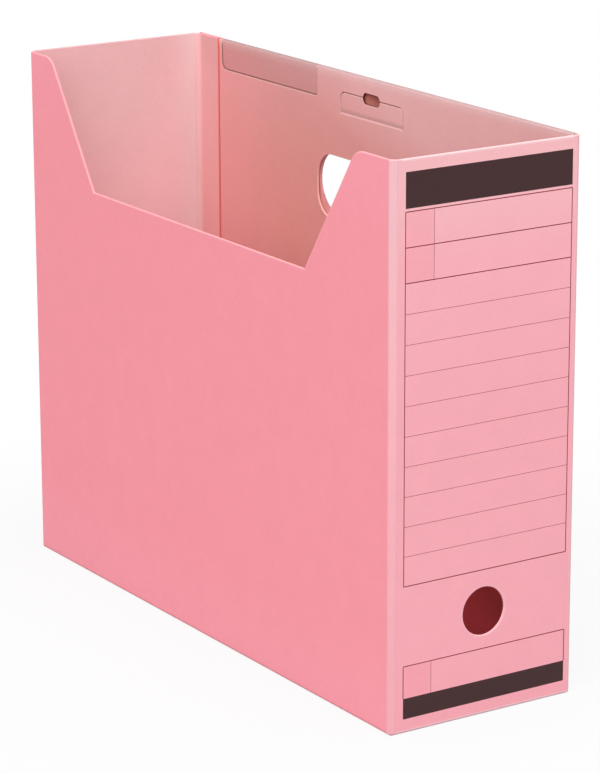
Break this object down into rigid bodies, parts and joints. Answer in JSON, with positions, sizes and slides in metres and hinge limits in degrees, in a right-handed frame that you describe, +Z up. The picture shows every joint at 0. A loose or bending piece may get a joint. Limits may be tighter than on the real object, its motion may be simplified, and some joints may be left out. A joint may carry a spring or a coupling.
{
  "type": "upright file box",
  "caption": "Open-topped upright file box folded from dyed paperboard, with a sloped cut-out in one side, a hand hole in the other and a finger hole in its ruled label end.",
  "frame": {"origin": "centre of the base, on the surface that the box stands on", "axes": "+Z up; X across the box, cut-out wall at -X and handle wall at +X; Y along the box, label end at -Y"},
  "size_m": [0.102, 0.324, 0.263],
  "materials": {
    "dyed_board": "matte paperboard dyed pink through its thickness",
    "printed_board": "the same board with a ruled form printed in dark ink"
  },
  "bodies": {
    "box": {"cutout_side_wall": "dyed_board", "label_end_wall": "printed_board", "handle_side_wall": "dyed_board", "back_end_wall": "dyed_board", "front_cutout_corner_fold": "dyed_board", "front_handle_corner_fold": "dyed_board", "back_cutout_corner_fold": "dyed_board", "glue_flap": "dyed_board", "top_fold": "dyed_board", "base_outer_panel": "dyed_board", "base_inner_panel": "dyed_board", "base_front_flap": "dyed_board", "base_back_flap": "dyed_board"},
    "turn_in_panel": {"turn_in_panel": "dyed_board"},
    "index_tab": {"index_tab": "dyed_board"},
    "finger_tab": {"finger_tab": "dyed_board"}
  },
  "joints": [
    {"name": "turn_in_hinge", "type": "hinge", "parent": "box", "child": "turn_in_panel", "pos_m": [0.048, 0, 0.26135], "axis": [0, 1, 0], "range_deg": [0, 48]},
    {"name": "index_tab_hinge", "type": "hinge", "parent": "box", "child": "index_tab", "pos_m": [0.048, 0.092, 0.26135], "axis": [0, 1, 0], "range_deg": [0, 172]},
    {"name": "finger_tab_hinge", "type": "hinge", "parent": "turn_in_panel", "child": "finger_tab", "pos_m": [0.048, 0, 0.243], "axis": [0, -1, 0], "range_deg": [0, 165]}
  ]
}
